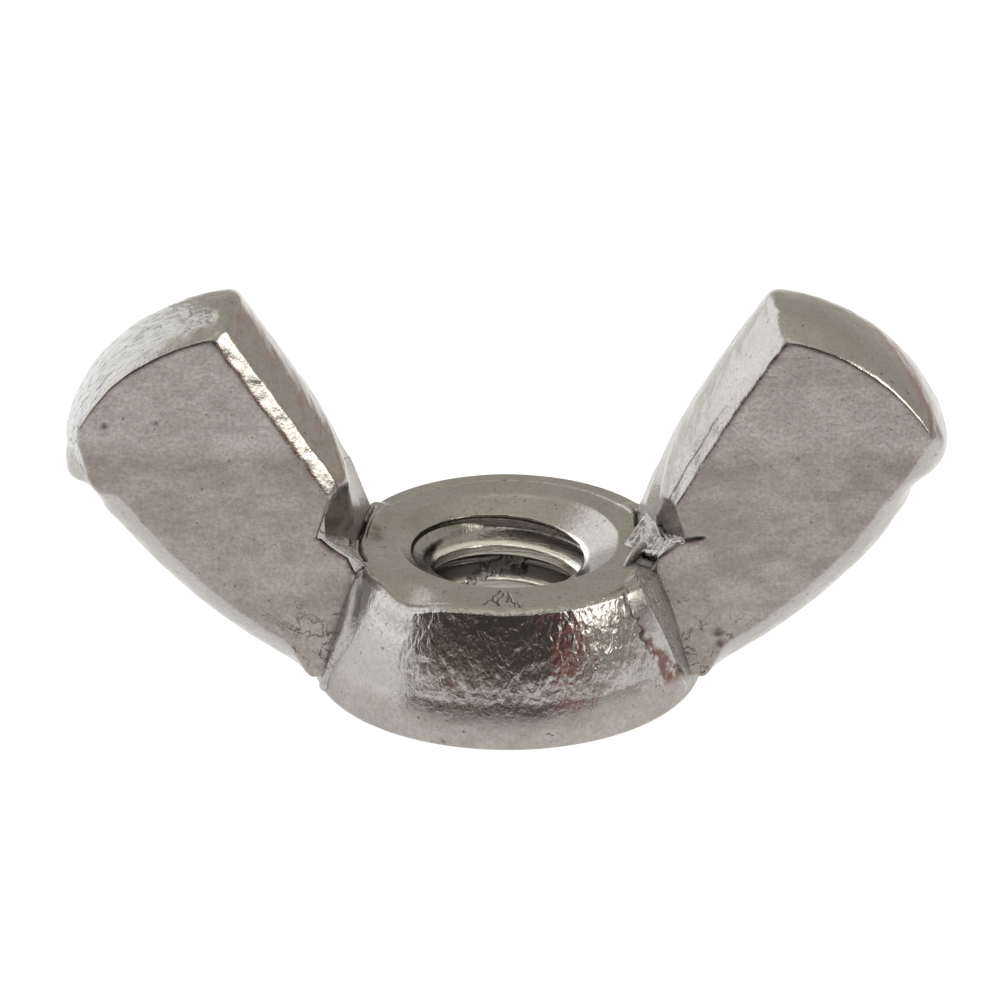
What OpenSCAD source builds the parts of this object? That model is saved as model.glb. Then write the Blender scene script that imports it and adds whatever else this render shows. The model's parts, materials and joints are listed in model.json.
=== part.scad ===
// Wing nut, cold forged in one piece: a tapered round hub with two blade-like wings.
// Origin: centre of the bearing face, on the thread axis. +Z along the thread, away from
// the bearing face. +X towards one wing tip. The wings' broad faces look along -Y and +Y.
// The forging is held as its regions, which meet face to face along the forging's folds.

/* [Thread] */
// Diameter across the thread crests, cut as the plain bore (1/4 inch x 20 thread)
bore_d = 5.1; // [4.9:0.05:5.2]
// Diameter of the entry countersink on the top land
sink_d = 7.45; // [6.8:0.05:7.8]
// Diameter of the entry countersink on the bearing face
base_sink_d = 6.9; // [6.5:0.05:7.5]
// Full angle of both countersinks, degrees
sink_angle = 120; // [100:1:130]

/* [Hub] */
// Diameter of the hub at the bearing face
hub_base_d = 13.1; // [12.8:0.1:14]
// Diameter of the hub's top land
hub_top_d = 10.65; // [10.4:0.05:11]
// Height of the hub, from the bearing face to the top land
hub_h = 4.7; // [4.5:0.1:5.2]
// Height of the straight rim around the bearing face
rim_h = 0.85; // [0.6:0.05:1.1]
// Radius that rounds the hub's outer edges
edge_r = 0.22; // [0.1:0.02:0.3]

/* [Wings] */
// Distance from wing tip to wing tip
spread = 29.6; // [29:0.1:30.5]
// Height of the wing tips above the bearing face
height = 13.55; // [13.3:0.05:13.9]
// Radius of the curved tip edge
tip_r = 6.7; // [6.5:0.1:7]
// Thickness of a wing across its flat faces
wing_t = 4.4; // [4.2:0.1:4.6]
// Distance between the wings where they leave the top land
between = 9.7; // [9.5:0.1:9.9]
// How far the curved tip edge bulges beyond the flat faces
tip_crown = 0.5; // [0.3:0.05:0.7]
// How far the inner edge bulges beyond the flat faces
inner_crown = 0.8; // [0.5:0.05:0.9]
// How far the lower edge bulges beyond the flat faces
lower_crown = 1.05; // [0.8:0.05:1.15]
// Radius of the rolled bead where a wing's face meets the hub, at its thick upper end
bead_r = 0.3; // [0.2:0.05:0.4]

/* [Hidden] */
steel = "#a9a49d";
fold_steel = "#8d887f";
round_fn = 96;
eps = 0.01;

// Countersink depths, from their diameters and the full angle
sink_depth = (sink_d - bore_d) / 2 / tan(sink_angle / 2);
base_sink_depth = (base_sink_d - bore_d) / 2 / tan(sink_angle / 2);

// The wing's edge outline in the XZ plane, on the +X side
tip_from = 12;
tip_to = 78;
tip_centre = [spread / 2 - tip_r * cos(tip_from), height - tip_r * sin(tip_to)];
half_t = wing_t / 2;
heel = [6.6, 0.3];
tip_toe = [13.75, 6.95];
shoulder = [8.95, 13.3];
neck_top = [5.25, 7.6];
neck_foot = [between / 2, hub_h];
// Outer end of the fold between a wing and its neck, which runs down to the neck's foot
fold_end = [6.2, 5.8];
// Ends of the wing's inner side, which is buried in the hub
root_top = [3.2, 2.5];
root_foot = [3.2, heel.y];
// Where the rings of the wing's edge lie, as shares of half its thickness
crown_steps = [-1, -0.9, -0.7, -0.4, 0, 0.4, 0.7, 0.9, 1];

// Points of an arc about centre c, from angle a to angle b
function arc(c, r, a, b, n) =
    [for (i = [0:n]) let (t = a + (b - a) * i / n) c + r * [cos(t), sin(t)]];

// Points of a smooth curve that leaves p towards q and arrives at s from q
function curve(p, q, s, n) =
    [for (i = [0:n]) let (t = i / n) (1 - t) * (1 - t) * p + 2 * t * (1 - t) * q + t * t * s];

// Gives each point of a list its crown, from first to last, as [x, z, crown]
function crowned(points, first, last) =
    let (n = max(1, len(points) - 1))
    [for (i = [0:len(points) - 1]) [points[i].x, points[i].y, first + (last - first) * i / n]];

function unit(v) = v / norm(v);
function outward(v) = [v.y, -v.x];
function flat(point) = [point.x, point.y];

// Point i of an outline, pulled inwards by its crown times the share k
function pulled_in(edge, i, k) =
    let (
        n = len(edge),
        here = flat(edge[i]),
        before = flat(edge[max(i - 1, 0)]),
        after = flat(edge[min(i + 1, n - 1)]),
        side = unit(outward(unit(after - before)))
    )
    here - side * edge[i].z * k;

// The wing's free edge, from the heel round the tip to the neck
wing_edge = concat(
    crowned(curve(heel, [11.2, 2.9], tip_toe, 12), lower_crown, lower_crown),
    crowned(arc(tip_centre, tip_r, tip_from, tip_to, 14), tip_crown, tip_crown),
    crowned([shoulder, neck_top], inner_crown, inner_crown)
);
// The neck's free edge, from the wing down to the top land
neck_bend = [neck_foot.x + 0.1, 6.6];
neck_edge = crowned(curve(neck_top, neck_bend, neck_foot, 6), inner_crown, 0);
free_edge = concat(wing_edge, [for (i = [1:len(neck_edge) - 1]) neck_edge[i]]);
last_wing = len(wing_edge) - 1;
last_neck = len(free_edge) - 1;

// Outline of the wing or the neck at the share s of half the thickness. Each starts at
// a corner from which all its other corners can be seen, so its flat faces fan out from it.
function wing_ring(s) = concat(
    [fold_end, neck_foot, root_top, root_foot + [0, lower_crown * s * s]],
    [for (i = [0:last_wing]) pulled_in(free_edge, i, s * s)]
);
function neck_ring(s) = concat(
    [for (i = [last_wing:last_neck]) pulled_in(free_edge, i, s * s)],
    [fold_end]
);

// A closed solid through the same outline at each step across the thickness
module loft(rings) {
    n = len(rings[0]);
    last = len(rings) - 1;
    points = [for (r = [0:last]) for (p = rings[r]) [p.x, crown_steps[r] * half_t, p.y]];
    sides = [for (r = [0:last - 1]) for (i = [0:n - 1])
        let (j = (i + 1) % n) each [
            [r * n + i, (r + 1) * n + j, (r + 1) * n + i],
            [r * n + i, r * n + j, (r + 1) * n + j]
        ]];
    front = [[for (i = [0:n - 1]) (n - i) % n]];
    back = [[for (i = [0:n - 1]) last * n + i]];
    polyhedron(points = points, faces = concat(front, back, sides), convexity = 4);
}

// The rolled bead along the join of a wing's face and the hub's cone, thin at its foot
module root_bead(side) {
    hull() {
        translate([hub_top_d / 2 - 0.35, side * (half_t - 0.15), hub_h - 0.5])
            sphere(bead_r, $fn = 20);
        translate([hub_base_d / 2 - 0.45, side * (half_t - 0.25), rim_h])
            sphere(bead_r / 2, $fn = 20);
    }
}

// The hub's outer form, with no bore
module hub_envelope() {
    top_r = hub_top_d / 2;
    base_r = hub_base_d / 2;
    slope = atan((base_r - top_r) / (hub_h - rim_h));
    base_round = arc([base_r - edge_r, edge_r], edge_r, -90, 0, 5);
    top_round = arc([top_r - edge_r, hub_h - edge_r], edge_r, slope, 90, 5);
    rotate_extrude($fn = round_fn)
        polygon(concat([[0, 0]], base_round, [[base_r, rim_h]], top_round, [[0, hub_h]]));
}

// The hub with its bore and both countersinks
module hub() {
    color(steel)
        difference() {
            hub_envelope();
            translate([0, 0, -1])
                cylinder(d = bore_d, h = hub_h + 2, $fn = round_fn);
            translate([0, 0, hub_h - sink_depth])
                cylinder(d1 = bore_d, d2 = sink_d, h = sink_depth + eps / 10, $fn = round_fn);
            translate([0, 0, -eps / 10])
                cylinder(d1 = base_sink_d, d2 = bore_d, h = base_sink_depth, $fn = round_fn);
        }
}

// A wing on the given side, +1 right or -1 left, trimmed by the hub and the neck
module wing(side) {
    color(steel)
        mirror([side < 0 ? 1 : 0, 0, 0])
            difference() {
                union() {
                    loft([for (s = crown_steps) wing_ring(s)]);
                    root_bead(-1);
                    root_bead(1);
                }
                hub_envelope();
            }
}

// The neck of a wing on the given side
module neck(side) {
    color(fold_steel)
        mirror([side < 0 ? 1 : 0, 0, 0])
            loft([for (s = crown_steps) neck_ring(s)]);
}

hub();
neck(-1);  // neck_left
neck(1);  // neck_right
wing(-1);  // wing_left
wing(1);  // wing_right
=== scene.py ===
"""A cold-forged stainless wing nut on a pale studio floor.

Shapes are worked out in millimetres, in the CAD frame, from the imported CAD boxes, and turned
into metres when a mesh is made. Each wing and neck is a closed surface taken from a distance
field, and the hub is one closed ring of quads that includes the thread.
"""

import json
import math

import bpy
import numpy as np
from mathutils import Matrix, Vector


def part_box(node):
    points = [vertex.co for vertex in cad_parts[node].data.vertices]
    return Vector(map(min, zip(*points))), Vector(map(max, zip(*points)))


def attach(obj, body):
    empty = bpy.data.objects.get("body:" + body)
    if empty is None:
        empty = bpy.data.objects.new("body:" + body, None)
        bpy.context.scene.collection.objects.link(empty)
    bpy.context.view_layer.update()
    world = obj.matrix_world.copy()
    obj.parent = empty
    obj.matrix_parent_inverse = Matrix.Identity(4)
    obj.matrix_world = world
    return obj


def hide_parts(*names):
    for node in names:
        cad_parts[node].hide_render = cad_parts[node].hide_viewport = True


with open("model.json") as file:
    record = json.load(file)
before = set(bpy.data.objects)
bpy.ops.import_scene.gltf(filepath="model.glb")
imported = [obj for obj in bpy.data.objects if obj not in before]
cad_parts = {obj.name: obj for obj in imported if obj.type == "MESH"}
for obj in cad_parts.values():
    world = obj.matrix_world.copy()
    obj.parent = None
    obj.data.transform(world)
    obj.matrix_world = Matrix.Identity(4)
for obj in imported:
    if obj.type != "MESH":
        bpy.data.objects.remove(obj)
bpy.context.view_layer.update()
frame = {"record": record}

# ---------------------------------------------------------------- driving sizes, millimetres

MM = 0.001


def node_box(node):
    """Lowest and highest corner of a CAD node, in millimetres."""
    low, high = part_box(node)
    return np.array(low) / MM, np.array(high) / MM


_, HUB_HIGH = node_box("hub")
_, WING_HIGH = node_box("wing_right")
_, NECK_HIGH = node_box("neck_right")
THREAD = next(m for m in frame["record"]["mounts"] if m["name"] == "thread")

# The hub: a low straight rim with a cone on it.
HUB_H = HUB_HIGH[2]
BASE_R = HUB_HIGH[0]
TAPER = 1.14
TOP_R = BASE_R - TAPER
RIM_H = 0.85

# The thread, 1/4 inch with 20 turns to the inch, and the countersinks at its two ends.
CREST_R = THREAD["dims"]["r_mm"]
PITCH = 25.4 / 20
THREAD_DEPTH = 0.6 * PITCH * math.cos(math.radians(30))
ROOT_R = CREST_R + THREAD_DEPTH
TOP_SINK_WIDTH = 1.19
BASE_SINK_WIDTH = 0.9
SINK_R = CREST_R + TOP_SINK_WIDTH
BASE_SINK_R = CREST_R + BASE_SINK_WIDTH
SINK_SLOPE = math.tan(math.radians(60))

# The wings: half their thickness, and the tip's arc, which reaches almost to the CAD box.
HALF_T = NECK_HIGH[1]
TIP_R = 6.7
TIP_MARGIN = 0.02
TIP_REACH = np.array([math.cos(math.radians(12)), math.sin(math.radians(78))])
TIP_CENTRE = WING_HIGH[[0, 2]] - TIP_MARGIN - TIP_R * TIP_REACH


# ---------------------------------------------------------------- small numeric helpers

def smooth_step(a, b, x):
    """0 at a and 1 at b, with a smooth rise between; a may be the larger one."""
    t = np.clip((x - a) / (b - a), 0.0, 1.0)
    return t * t * (3.0 - 2.0 * t)


def smooth_max(a, b, k):
    """The larger of a and b, with the corner between them rounded over about k."""
    h = np.clip(0.5 + 0.5 * (a - b) / k, 0.0, 1.0)
    return b + (a - b) * h + k * h * (1.0 - h)


def smooth_min(a, b, k):
    """The smaller of a and b, with the corner between them rounded over about k."""
    return -smooth_max(-a, -b, k)


def bump_at(p, centre, size):
    """1 at the centre, falling smoothly to 0 about two sizes away."""
    d = ((p[..., 0] - centre[0]) / size[0]) ** 2
    d = d + ((p[..., 1] - centre[1]) / size[1]) ** 2 + ((p[..., 2] - centre[2]) / size[2]) ** 2
    return np.exp(-d)


def lattice_value(i, j, k, seed):
    """A repeatable random number from -1 to 1 for each whole-number lattice point."""
    h = (i * 374761393 + j * 668265263 + k * 2147483647 + seed * 974634777) & 0xFFFFFFFF
    h = ((h ^ (h >> 13)) * 1274126177) & 0xFFFFFFFF
    return ((h ^ (h >> 16)) & 0xFFFF) / 32767.5 - 1.0


def noise(p, scale, seed=0):
    """Smooth random values from -1 to 1 over points p, about one swell per scale."""
    q = np.asarray(p, float) / scale
    base = np.floor(q).astype(np.int64)
    f = q - base
    f = f * f * f * (f * (f * 6.0 - 15.0) + 10.0)
    total = np.zeros(q.shape[:-1])
    for corner in range(8):
        o = np.array([corner & 1, corner >> 1 & 1, corner >> 2 & 1])
        weight = np.prod(np.where(o == 1, f, 1.0 - f), axis=-1)
        total += weight * lattice_value(*np.moveaxis(base + o, -1, 0), seed)
    return total


def path_distance(p, path):
    """Distance from points p to a path of straight stretches, and the share along it."""
    best = np.full(p.shape[:-1], 1e9)
    share = np.zeros(p.shape[:-1])
    for i in range(len(path) - 1):
        a, b = np.array(path[i], float), np.array(path[i + 1], float)
        t = np.clip(((p - a) @ (b - a)) / ((b - a) @ (b - a)), 0.0, 1.0)
        d = np.linalg.norm(p - a - t[..., None] * (b - a), axis=-1)
        closer = d < best
        best = np.where(closer, d, best)
        share = np.where(closer, (i + t) / (len(path) - 1), share)
    return best, share


def plane(p, point, normal):
    """Signed distance from the plane through point; positive on the normal's side."""
    n = np.array(normal, float)
    return (p - np.array(point, float)) @ (n / np.linalg.norm(n))


# ---------------------------------------------------------------- meshes

def surface_of(field, low, high, step):
    """The closed surface field = 0 inside a box, as vertices and quads (surface nets)."""
    counts = np.ceil((np.array(high) - np.array(low)) / step).astype(int) + 1
    axes = [low[a] + step * np.arange(counts[a]) for a in range(3)]
    grid = np.stack(np.meshgrid(*axes, indexing="ij"), axis=-1)
    value = np.empty(grid.shape[:3])
    for i in range(len(axes[0])):
        value[i] = field(grid[i])
    inside = value < 0
    corners = [(a, b, c) for a in (0, 1) for b in (0, 1) for c in (0, 1)]
    cells = tuple(n - 1 for n in inside.shape)

    def shifted(array, o):
        return array[o[0]:o[0] + cells[0], o[1]:o[1] + cells[1], o[2]:o[2] + cells[2]]

    count = sum(shifted(inside, o).astype(np.int8) for o in corners)
    cell = np.argwhere((count > 0) & (count < 8))
    number = -np.ones(cells, np.int64)
    number[tuple(cell.T)] = np.arange(len(cell))
    total = np.zeros((len(cell), 3))
    hits = np.zeros(len(cell))
    for o in corners:
        for axis in range(3):
            if o[axis]:
                continue
            far = list(o)
            far[axis] = 1
            v0 = value[tuple((cell + np.array(o)).T)]
            v1 = value[tuple((cell + np.array(far)).T)]
            cross = (v0 < 0) != (v1 < 0)
            t = np.where(cross, v0 / np.where(v0 == v1, 1.0, v0 - v1), 0.0)
            point = np.array(o) + t[:, None] * (np.array(far) - np.array(o))
            total += point * cross[:, None]
            hits += cross
    vertices = np.array(low) + step * (cell + total / hits[:, None])
    quads = []
    for axis in range(3):
        u, v = (axis + 1) % 3, (axis + 2) % 3
        unit = np.eye(3, dtype=int)
        first = tuple(slice(0, n - (a == axis)) for a, n in enumerate(inside.shape))
        second = tuple(slice(a == axis, n) for a, n in enumerate(inside.shape))
        edge = np.argwhere(inside[first] != inside[second])
        edge = edge[(edge[:, u] > 0) & (edge[:, v] > 0)]
        edge = edge[(edge[:, u] < cells[u]) & (edge[:, v] < cells[v])]
        ring = [edge - unit[u] - unit[v], edge - unit[v], edge, edge - unit[u]]
        quad = np.stack([number[tuple(r.T)] for r in ring], axis=1)
        leaving = inside[tuple(edge.T)]
        quads.append(np.where(leaving[:, None], quad, quad[:, ::-1]))
    return settle(field, vertices, step), np.concatenate(quads)


def slope_of(field, p, h=0.004):
    """How fast a field grows along each axis at points p."""
    return np.stack([(field(p + e) - field(p - e)) / (2 * h) for e in np.eye(3) * h], axis=-1)


def settle(field, p, step):
    """Moves vertices on to the surface field = 0, no further than 0.6 of a step in all."""
    start = p.copy()
    for _ in range(4):
        g = slope_of(field, p)
        p = p - g * (field(p) / np.maximum((g * g).sum(-1), 0.05))[:, None]
        move = p - start
        far = np.linalg.norm(move, axis=1, keepdims=True)
        p = start + move * np.minimum(1.0, 0.6 * step / np.maximum(far, 1e-9))
    return p


def make_piece(name, vertices, faces, material, replaced, marks):
    """A smooth-shaded mesh object from millimetre vertices, with its named point values."""
    mesh = bpy.data.meshes.new(name)
    mesh.from_pydata((vertices * MM).tolist(), [], faces.tolist())
    mesh.validate()
    mesh.polygons.foreach_set("use_smooth", [True] * len(mesh.polygons))
    for mark, values in marks.items():
        layer = mesh.attributes.new(mark, "FLOAT", "POINT")
        layer.data.foreach_set("value", np.asarray(values, np.float32))
    mesh.materials.append(material)
    piece = bpy.data.objects.new(name, mesh)
    bpy.context.scene.collection.objects.link(piece)
    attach(piece, "root")
    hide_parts(replaced)
    return piece


# ---------------------------------------------------------------- materials

class Nodes:
    """A short way to build a material's node tree."""

    def __init__(self, name):
        self.material = bpy.data.materials.new(name)
        self.material.use_nodes = True
        self.tree = self.material.node_tree
        self.tree.nodes.clear()
        self.shader = self.add("ShaderNodeBsdfPrincipled")
        out = self.add("ShaderNodeOutputMaterial")
        self.link(self.shader.outputs[0], out.inputs[0])
        self.place = self.add("ShaderNodeTexCoord").outputs["Object"]

    @classmethod
    def for_tree(cls, tree):
        """The same short calls for a tree that already has its output, such as a world's."""
        nodes = cls.__new__(cls)
        nodes.tree = tree
        return nodes

    def split(self, vector):
        node = self.add("ShaderNodeSeparateXYZ")
        self.link(vector, node.inputs[0])
        return node.outputs[:3]

    def add(self, kind, **settings):
        node = self.tree.nodes.new(kind)
        for key, value in settings.items():
            setattr(node, key, value)
        return node

    def link(self, a, b):
        self.tree.links.new(a, b)

    def put(self, socket, value):
        if isinstance(value, bpy.types.NodeSocket):
            self.link(value, socket)
        else:
            socket.default_value = value

    def mark(self, name):
        return self.add("ShaderNodeAttribute", attribute_name=name).outputs["Fac"]

    def math(self, kind, a, b=0.0):
        node = self.add("ShaderNodeMath", operation=kind)
        self.put(node.inputs[0], a)
        self.put(node.inputs[1], b)
        return node.outputs[0]

    def plus(self, a, b):
        return self.math("ADD", a, b)

    def times(self, a, b):
        return self.math("MULTIPLY", a, b)

    def length(self, a, b):
        """The length of the flat vector (a, b)."""
        return self.math("SQRT", self.plus(self.times(a, a), self.times(b, b)))

    def remap(self, value, a, b, c=0.0, d=1.0):
        """Goes smoothly from c at a to d at b; a may be the larger one."""
        node = self.add("ShaderNodeMapRange", interpolation_type="SMOOTHSTEP")
        for socket, v in zip(node.inputs, (value, a, b, c, d)):
            self.put(socket, v)
        return node.outputs[0]

    def stretched(self, scale, tilt=0.0):
        """Object coordinates turned about Y, then scaled along each axis."""
        node = self.add("ShaderNodeMapping")
        self.link(self.place, node.inputs["Vector"])
        node.inputs["Rotation"].default_value = (0.0, tilt, 0.0)
        turned = self.add("ShaderNodeMapping")
        self.link(node.outputs[0], turned.inputs["Vector"])
        turned.inputs["Scale"].default_value = scale
        return turned.outputs[0]

    def noise(self, size_mm, detail=3.0, rough=0.5, vector=None, warp=0.0):
        node = self.add("ShaderNodeTexNoise")
        self.link(vector or self.place, node.inputs["Vector"])
        node.inputs["Scale"].default_value = 1.0 / (size_mm * MM)
        node.inputs["Detail"].default_value = detail
        node.inputs["Roughness"].default_value = rough
        node.inputs["Distortion"].default_value = warp
        return node.outputs["Fac"]

    def mix(self, share, a, b):
        """Colour a where the share is 0 and colour b where it is 1."""
        node = self.add("ShaderNodeMix", data_type="RGBA")
        self.put(node.inputs["Factor"], share)
        self.put(node.inputs["A"], a)
        self.put(node.inputs["B"], b)
        return node.outputs["Result"]

    def bump(self, height, depth_mm, normal=None):
        node = self.add("ShaderNodeBump")
        self.link(height, node.inputs["Height"])
        node.inputs["Distance"].default_value = depth_mm * MM
        if normal:
            self.link(normal, node.inputs["Normal"])
        return node.outputs["Normal"]


def rgb(r, g, b):
    return (r, g, b, 1.0)


# The metal's colours. A pair is the dark and the light end of a blotchy surface.
PAINTED_SHADE_FACE = rgb(0.300, 0.270, 0.240), rgb(0.415, 0.385, 0.358)
FACE_ABOVE_SHADE_LINE = rgb(0.385, 0.358, 0.335), rgb(0.505, 0.478, 0.452)
FACE_PITS = rgb(0.205, 0.180, 0.160)
RIM = rgb(0.405, 0.390, 0.365), rgb(0.455, 0.440, 0.420)
RIM_PITS = rgb(0.22, 0.20, 0.18)
TURNED = rgb(0.92, 0.89, 0.83)
TORN = rgb(0.30, 0.30, 0.30), rgb(0.68, 0.68, 0.68)
RUST_AND_REFLECTION_RED = rgb(0.135, 0.050, 0.042)
SPECK = rgb(0.07, 0.045, 0.03)
FINE_CRACK = rgb(0.10, 0.070, 0.055)
DEEP_CRACK_AND_SHADE = rgb(0.03, 0.024, 0.02)

# The faces are darker and browner below this height, in metres. This is a painted shade standing in
# for a band of dimmer floor that they reflect. They are lighter from the second height up.
SHADE_LINE_HEIGHTS = 0.0093, 0.0101
SHADE_LINE_WAVE = 0.0016

MARKS = "polish", "dark", "torn", "wrinkled", "cracked", "turned", "rust"


def steel_patterns(m):
    """The procedural patterns that colour and relief share."""
    vein = m.noise(0.75, 3.0, 0.6, warp=0.6)
    vein = m.remap(m.math("ABSOLUTE", m.math("SUBTRACT", vein, 0.5)), 0.022, 0.004)
    vein = m.times(vein, m.mark("cracked"))
    return {
        "grain": m.noise(0.13, 3.0, 0.7),
        "tear": m.noise(0.13, 4.0, 0.72, m.stretched((1.0, 0.9, 0.14), tilt=math.radians(-48))),
        "vein": m.times(vein, m.remap(m.noise(0.5, 2.0, 0.5), 0.42, 0.60)),
    }


def steel_colour(m, marks, patterns):
    """Blotchy faces with painted shade low down, greyer rims, turned and torn metal, rust with a
    painted red reflection, specks, and cracks with painted shade.
    """
    _, _, height = m.split(m.place)
    cloud = m.noise(2.2, 4.0, 0.6)
    blotch = m.remap(m.noise(0.9, 7.0, 0.72, m.stretched((0.6, 1.0, 1.0))), 0.33, 0.67)
    # Painted shade: below a wavy height the faces take the darker, browner pair, in place of the
    # reflected band of dimmer floor.
    pale = m.remap(m.plus(height, m.times(cloud, SHADE_LINE_WAVE)), *SHADE_LINE_HEIGHTS)
    face = m.mix(pale, m.mix(blotch, *PAINTED_SHADE_FACE), m.mix(blotch, *FACE_ABOVE_SHADE_LINE))
    face = m.mix(m.remap(patterns["grain"], 0.35, 0.62, 0.34, 0.0), face, FACE_PITS)
    rim = m.mix(m.remap(cloud, 0.3, 0.7), *RIM)
    rim = m.mix(m.remap(patterns["grain"], 0.38, 0.60, 0.22, 0.0), rim, RIM_PITS)
    colour = m.mix(marks["polish"], face, rim)
    colour = m.mix(m.remap(marks["turned"], 0.5, 1.0), colour, TURNED)
    colour = m.mix(marks["torn"], colour, m.mix(m.remap(patterns["tear"], 0.33, 0.50), *TORN))
    # The rust mark is real rust, and on the land it is also a painted red reflection.
    rust_and_reflection = m.times(marks["rust"], m.remap(m.noise(0.35, 5.0, 0.7), 0.36, 0.54))
    colour = m.mix(m.times(rust_and_reflection, 0.85), colour, RUST_AND_REFLECTION_RED)
    speck = m.remap(m.noise(0.17, 1.0, 0.4), 0.70, 0.76)
    colour = m.mix(m.times(speck, 0.55), colour, SPECK)
    colour = m.mix(m.times(patterns["vein"], 0.55), colour, FINE_CRACK)
    # The dark mark is cracks, folds and pits, and on the hub's ridge it is also painted shade.
    return m.mix(marks["dark"], colour, DEEP_CRACK_AND_SHADE)


def steel_roughness(m, marks, patterns):
    """Matte faces, smoother rims, and rougher cracks and tears."""
    grain = m.remap(patterns["grain"], 0.2, 0.8, 0.06, -0.04)
    rough = m.plus(m.remap(marks["polish"], 0.0, 1.0, 0.42, 0.17), grain)
    rough = m.plus(rough, m.times(marks["dark"], 0.3))
    return m.plus(rough, m.times(marks["torn"], 0.22))


def steel_relief(m, marks, patterns, wrinkle_mm):
    """Hammered wrinkles, tears, the turning tool's lines, fine cracks, grain and slow waves."""
    x, y, z = m.split(m.place)
    wrinkle = m.noise(wrinkle_mm, 2.5, 0.5, m.stretched((1.0, 1.0, 0.5)), warp=0.4)
    normal = m.bump(m.times(wrinkle, marks["wrinkled"]), 0.040)
    normal = m.bump(m.times(patterns["tear"], marks["torn"]), 0.16, normal)
    ring = m.add("ShaderNodeCombineXYZ")
    m.put(ring.inputs[0], m.length(x, y))
    m.put(ring.inputs[1], z)
    lines = m.noise(0.06, 2.0, 0.6, ring.outputs[0])
    normal = m.bump(m.times(lines, marks["turned"]), 0.010, normal)
    normal = m.bump(m.times(patterns["vein"], -1.0), 0.05, normal)
    grain = m.times(patterns["grain"], m.remap(marks["wrinkled"], 0.0, 1.0, 1.0, 0.35))
    normal = m.bump(grain, 0.010, normal)
    return m.bump(m.noise(0.7, 3.0, 0.5), 0.024, normal)


def forged_steel(name, wrinkle_mm=0.3):
    """Bare stainless steel: matte forged faces, polished rims, dark folds and cracks, with painted
    shade low on the faces and on the hub's ridge.
    """
    m = Nodes(name)
    marks = {mark: m.mark(mark) for mark in MARKS}
    patterns = steel_patterns(m)
    m.shader.inputs["Metallic"].default_value = 1.0
    m.link(steel_colour(m, marks, patterns), m.shader.inputs["Base Color"])
    m.link(steel_roughness(m, marks, patterns), m.shader.inputs["Roughness"])
    m.link(steel_relief(m, marks, patterns, wrinkle_mm), m.shader.inputs["Normal"])
    return m.material


WING_STEEL = forged_steel("forged_wing_steel")
NECK_STEEL = forged_steel("folded_neck_steel")
HUB_STEEL = forged_steel("forged_hub_steel", 0.26)


# ---------------------------------------------------------------- wings and necks

# Each wing is drawn with x growing outwards from the bore, for side -1 and side 1.
#   tip_crown, tip_crown_back: how far the tip falls away at the front and back faces
#   tip_shift, tip_bulge:      the tip's arc against the CAD one
#   inner, blend:              the inner edge's straight stretches, as a point and its rise
#   bevel, lean:               the inner edge's bevel, and its tilt towards the back
#   low_fade, lips:            the lower edge's crown near the tip, and its worn lips
#   flat_point, flat_normal:   the forming tool's flat on the neck
#   fold:                      the cold fold over the wing's face, as (x, z)
WINGS = {
    -1: {
        "tip_crown": 0.50, "tip_crown_back": 0.80,
        "tip_shift": (0.08, -0.10), "tip_bulge": 0.16,
        "inner": [((6.25, 9.26), 1.51)], "blend": 0.5,
        "bevel": 0.8, "lean": 0.045,
        "low_fade": 0.6, "lips": [((14.45, 7.65), -0.42, 0.50), ((13.60, 7.20), 0.14, 0.60)],
        "flat_point": (5.92, -2.2, 7.03), "flat_normal": (-0.81, -0.53, -0.25),
        "fold": [(4.85, 4.3), (5.1, 4.6), (5.3, 5.06), (5.7, 5.32), (6.2, 5.73)],
    },
    1: {
        "tip_crown": 0.65, "tip_crown_back": 0.82,
        "tip_shift": (-0.02, -0.09), "tip_bulge": 0.0,
        "inner": [((7.3, 11.4), 1.45), ((5.42, 8.15), 2.05)], "blend": 0.5,
        "bevel": 0.45, "lean": 0.028,
        "low_fade": 0.0, "lips": [((13.65, 7.15), 0.26, 0.50), ((12.9, 6.5), 0.16, 0.90)],
        "flat_point": (5.58, -2.2, 6.84), "flat_normal": (-0.83, -0.50, -0.25),
        "fold": [(4.85, 4.7), (5.0, 5.1), (5.35, 5.39), (5.75, 5.69), (6.5, 5.8)],
    },
}

# How strongly the wings' edges are crowned across the thickness, where the inner edge's bevel
# starts, measured from the middle of the thickness, and the centre and radius of the lower arc.
CROWN_POWER = 2.5
INNER_CROWN = 0.42
BEVEL_FROM = 1.85
LOWER_CROWN = 1.05
LOW_CENTRE = np.array([-2.7, 17.6])
LOW_R = 19.7


def side_points(p, side):
    """Points with x turned to grow outwards on either side."""
    return p * np.array([side, 1.0, 1.0])


# Where a neck's foot meets the land, as (y, x) from front to back.
FEET = {
    -1: ((-1.8, 4.74), (-1.0, 4.93), (0.0, 4.97), (1.4, 4.72), (2.2, 4.50)),
    1: ((-1.8, 4.87), (0.0, 4.75), (0.8, 4.35), (2.2, 4.32)),
}


def foot_x(y, side):
    """How far out a neck's foot starts at each y."""
    foot_y, foot = zip(*FEET[side])
    return np.interp(y, foot_y, foot)


def tip_edge(q, side):
    """How far points lie outside the wing's arc-shaped tip, which is crowned across its width."""
    w = WINGS[side]
    x, y, z = q[..., 0], q[..., 1], q[..., 2]
    out, up = x - TIP_CENTRE[0] - w["tip_shift"][0], z - TIP_CENTRE[1] - w["tip_shift"][1]
    swing = np.degrees(np.arctan2(up, out))
    crown = np.where(y > 0, w["tip_crown_back"], w["tip_crown"])
    crown = crown * (0.35 + 0.65 * smooth_step(5.0, 60.0, swing))
    reach = TIP_R + w["tip_bulge"] * np.exp(-((swing - 42.0) / 24.0) ** 2)
    return crown * np.abs(y / HALF_T) ** CROWN_POWER - (reach - np.hypot(out, up))


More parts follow.
